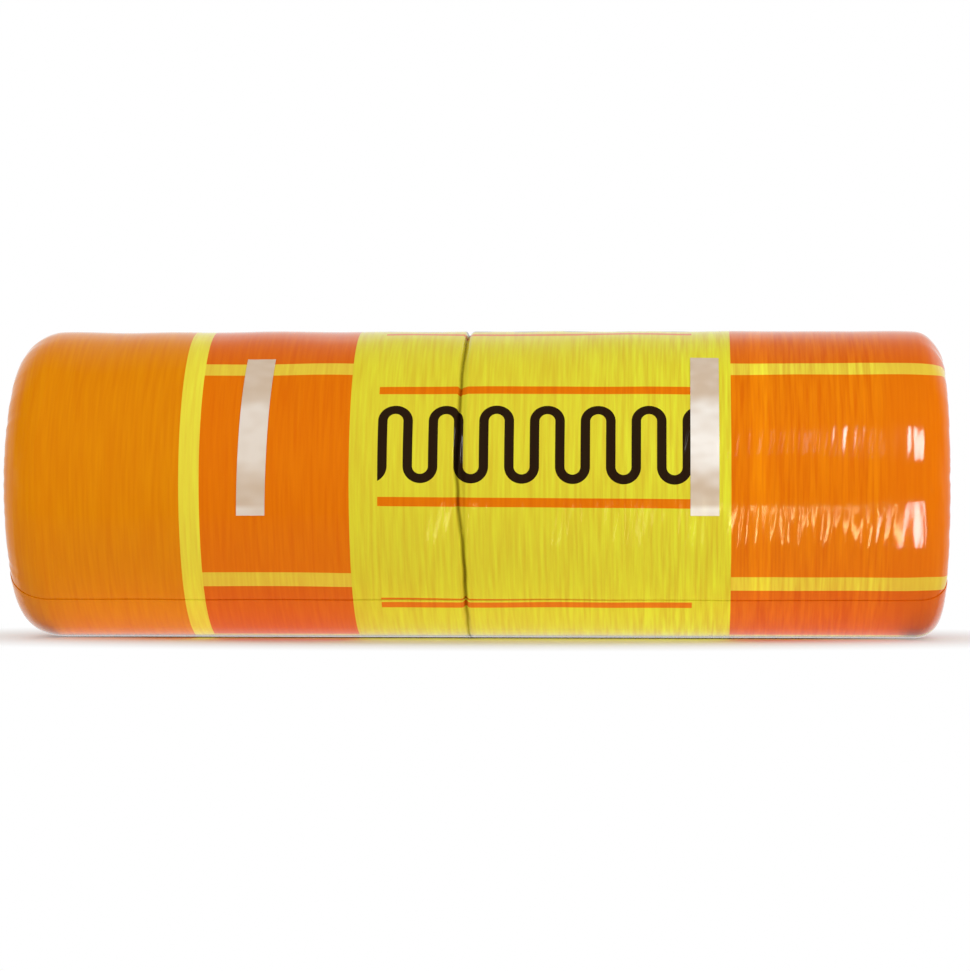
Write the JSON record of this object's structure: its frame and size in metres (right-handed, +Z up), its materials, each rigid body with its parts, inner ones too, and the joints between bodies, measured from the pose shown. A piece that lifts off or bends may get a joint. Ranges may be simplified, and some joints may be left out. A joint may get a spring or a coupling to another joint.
{
  "type": "insulation roll",
  "caption": "Long round pack of wound mineral wool insulation in a tight film sleeve with tape strips; lies or stands until it is unrolled between rafters, joists or studs.",
  "frame": {"origin": "on the floor under the middle of the lying roll", "axes": "+X along the roll's axis, -Y to its front with the tape strips, +Z up"},
  "size_m": [1.203, 0.4009, 0.4],
  "materials": {
    "wool": "fibrous, matt",
    "film": "printed stretched film, glossy with fine wrinkles",
    "tape": "white, slightly translucent, glossy"
  },
  "bodies": {
    "root": {"left_mat": "wool", "right_mat": "wool", "film_sleeve": "film", "left_tape": "tape", "right_tape": "tape"}
  },
  "joints": []
}
